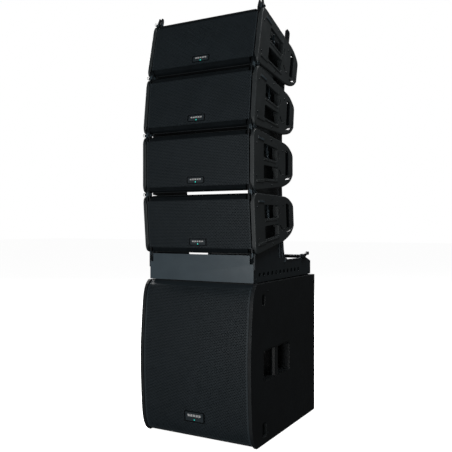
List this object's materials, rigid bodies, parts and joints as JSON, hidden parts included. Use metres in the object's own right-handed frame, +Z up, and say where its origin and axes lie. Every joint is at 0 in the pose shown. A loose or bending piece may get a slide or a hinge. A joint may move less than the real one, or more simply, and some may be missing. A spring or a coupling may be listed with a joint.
{
  "type": "line array speaker",
  "caption": "Ground-stacked line array loudspeaker: splayed two-way array modules hinged on a stacking frame that stands on a bass cabinet with side grips.",
  "frame": {"origin": "on the floor, under the middle of the stack's bounding box", "axes": "+Z up, -Y out of the grilles towards the audience, +X to the right of someone facing the grilles"},
  "size_m": [0.523, 0.6591, 1.7409],
  "materials": {
    "module_shell": "fine textured black",
    "cheek": "fine textured charcoal",
    "grille": "perforated steel, matt powder coat",
    "badge": "gloss black",
    "rigging": "zinc grey, satin",
    "woofer": "black cone, rubber surround, cast basket",
    "bass_driver": "black cone, rubber surround, cast basket",
    "horn": "moulded black",
    "electronics": "black anodised",
    "bass_electronics": "black anodised panel over mostly empty chassis",
    "bass_shell": "plywood with textured black coating",
    "grip": "moulded black",
    "frame": "dark grey powder coat",
    "bright_steel": "zinc plated",
    "rubber": "matt"
  },
  "bodies": {
    "base": {"sub_cabinet": "bass_shell", "sub_grille": "grille", "sub_badge": "badge", "sub_driver": "bass_driver", "sub_amplifier": "bass_electronics", "sub_grip_left": "grip", "sub_grip_right": "grip", "sub_runner_left": "rubber", "sub_runner_right": "rubber", "frame_body": "frame", "frame_crossbar": "bright_steel"},
    "knob": {"sub_knob": "rubber"},
    "lever": {"frame_lever": "bright_steel"},
    "module_4": {"m4_cabinet": "module_shell", "m4_cheek_left": "cheek", "m4_cheek_right": "cheek", "m4_grille": "grille", "m4_badge": "badge", "m4_rigging_left": "rigging", "m4_rigging_right": "rigging", "m4_woofer_left": "woofer", "m4_woofer_right": "woofer", "m4_horn": "horn", "m4_amplifier": "electronics"},
    "module_3": {"m3_cabinet": "module_shell", "m3_cheek_left": "cheek", "m3_cheek_right": "cheek", "m3_grille": "grille", "m3_badge": "badge", "m3_rigging_left": "rigging", "m3_rigging_right": "rigging", "m3_woofer_left": "woofer", "m3_woofer_right": "woofer", "m3_horn": "horn", "m3_amplifier": "electronics"},
    "module_2": {"m2_cabinet": "module_shell", "m2_cheek_left": "cheek", "m2_cheek_right": "cheek", "m2_grille": "grille", "m2_badge": "badge", "m2_rigging_left": "rigging", "m2_rigging_right": "rigging", "m2_woofer_left": "woofer", "m2_woofer_right": "woofer", "m2_horn": "horn", "m2_amplifier": "electronics"},
    "module_1": {"m1_cabinet": "module_shell", "m1_cheek_left": "cheek", "m1_cheek_right": "cheek", "m1_grille": "grille", "m1_badge": "badge", "m1_rigging_left": "rigging", "m1_rigging_right": "rigging", "m1_woofer_left": "woofer", "m1_woofer_right": "woofer", "m1_horn": "horn", "m1_amplifier": "electronics"}
  },
  "joints": [
    {"name": "splay_4", "type": "hinge", "parent": "base", "child": "module_4", "pos_m": [0, -0.27106, 0.73981], "axis": [-1, 0, 0], "range_deg": [-5, 10]},
    {"name": "splay_3", "type": "hinge", "parent": "module_4", "child": "module_3", "pos_m": [0, -0.29241, 0.98388], "axis": [-1, 0, 0], "range_deg": [-5, 5]},
    {"name": "splay_2", "type": "hinge", "parent": "module_3", "child": "module_2", "pos_m": [0, -0.29241, 1.22888], "axis": [-1, 0, 0], "range_deg": [-6.5, 3.5]},
    {"name": "splay_1", "type": "hinge", "parent": "module_2", "child": "module_1", "pos_m": [0, -0.26468, 1.4723], "axis": [-1, 0, 0], "range_deg": [-6.5, 3.5]},
    {"name": "lever_turn", "type": "hinge", "parent": "base", "child": "lever", "pos_m": [0.247, 0.214, 0.717], "axis": [1, 0, 0], "range_deg": [0, 110]},
    {"name": "gain_knob", "type": "hinge", "parent": "base", "child": "knob", "pos_m": [0.07, 0.3236, 0.27], "axis": [0, 1, 0], "range_deg": [-135, 135]}
  ]
}
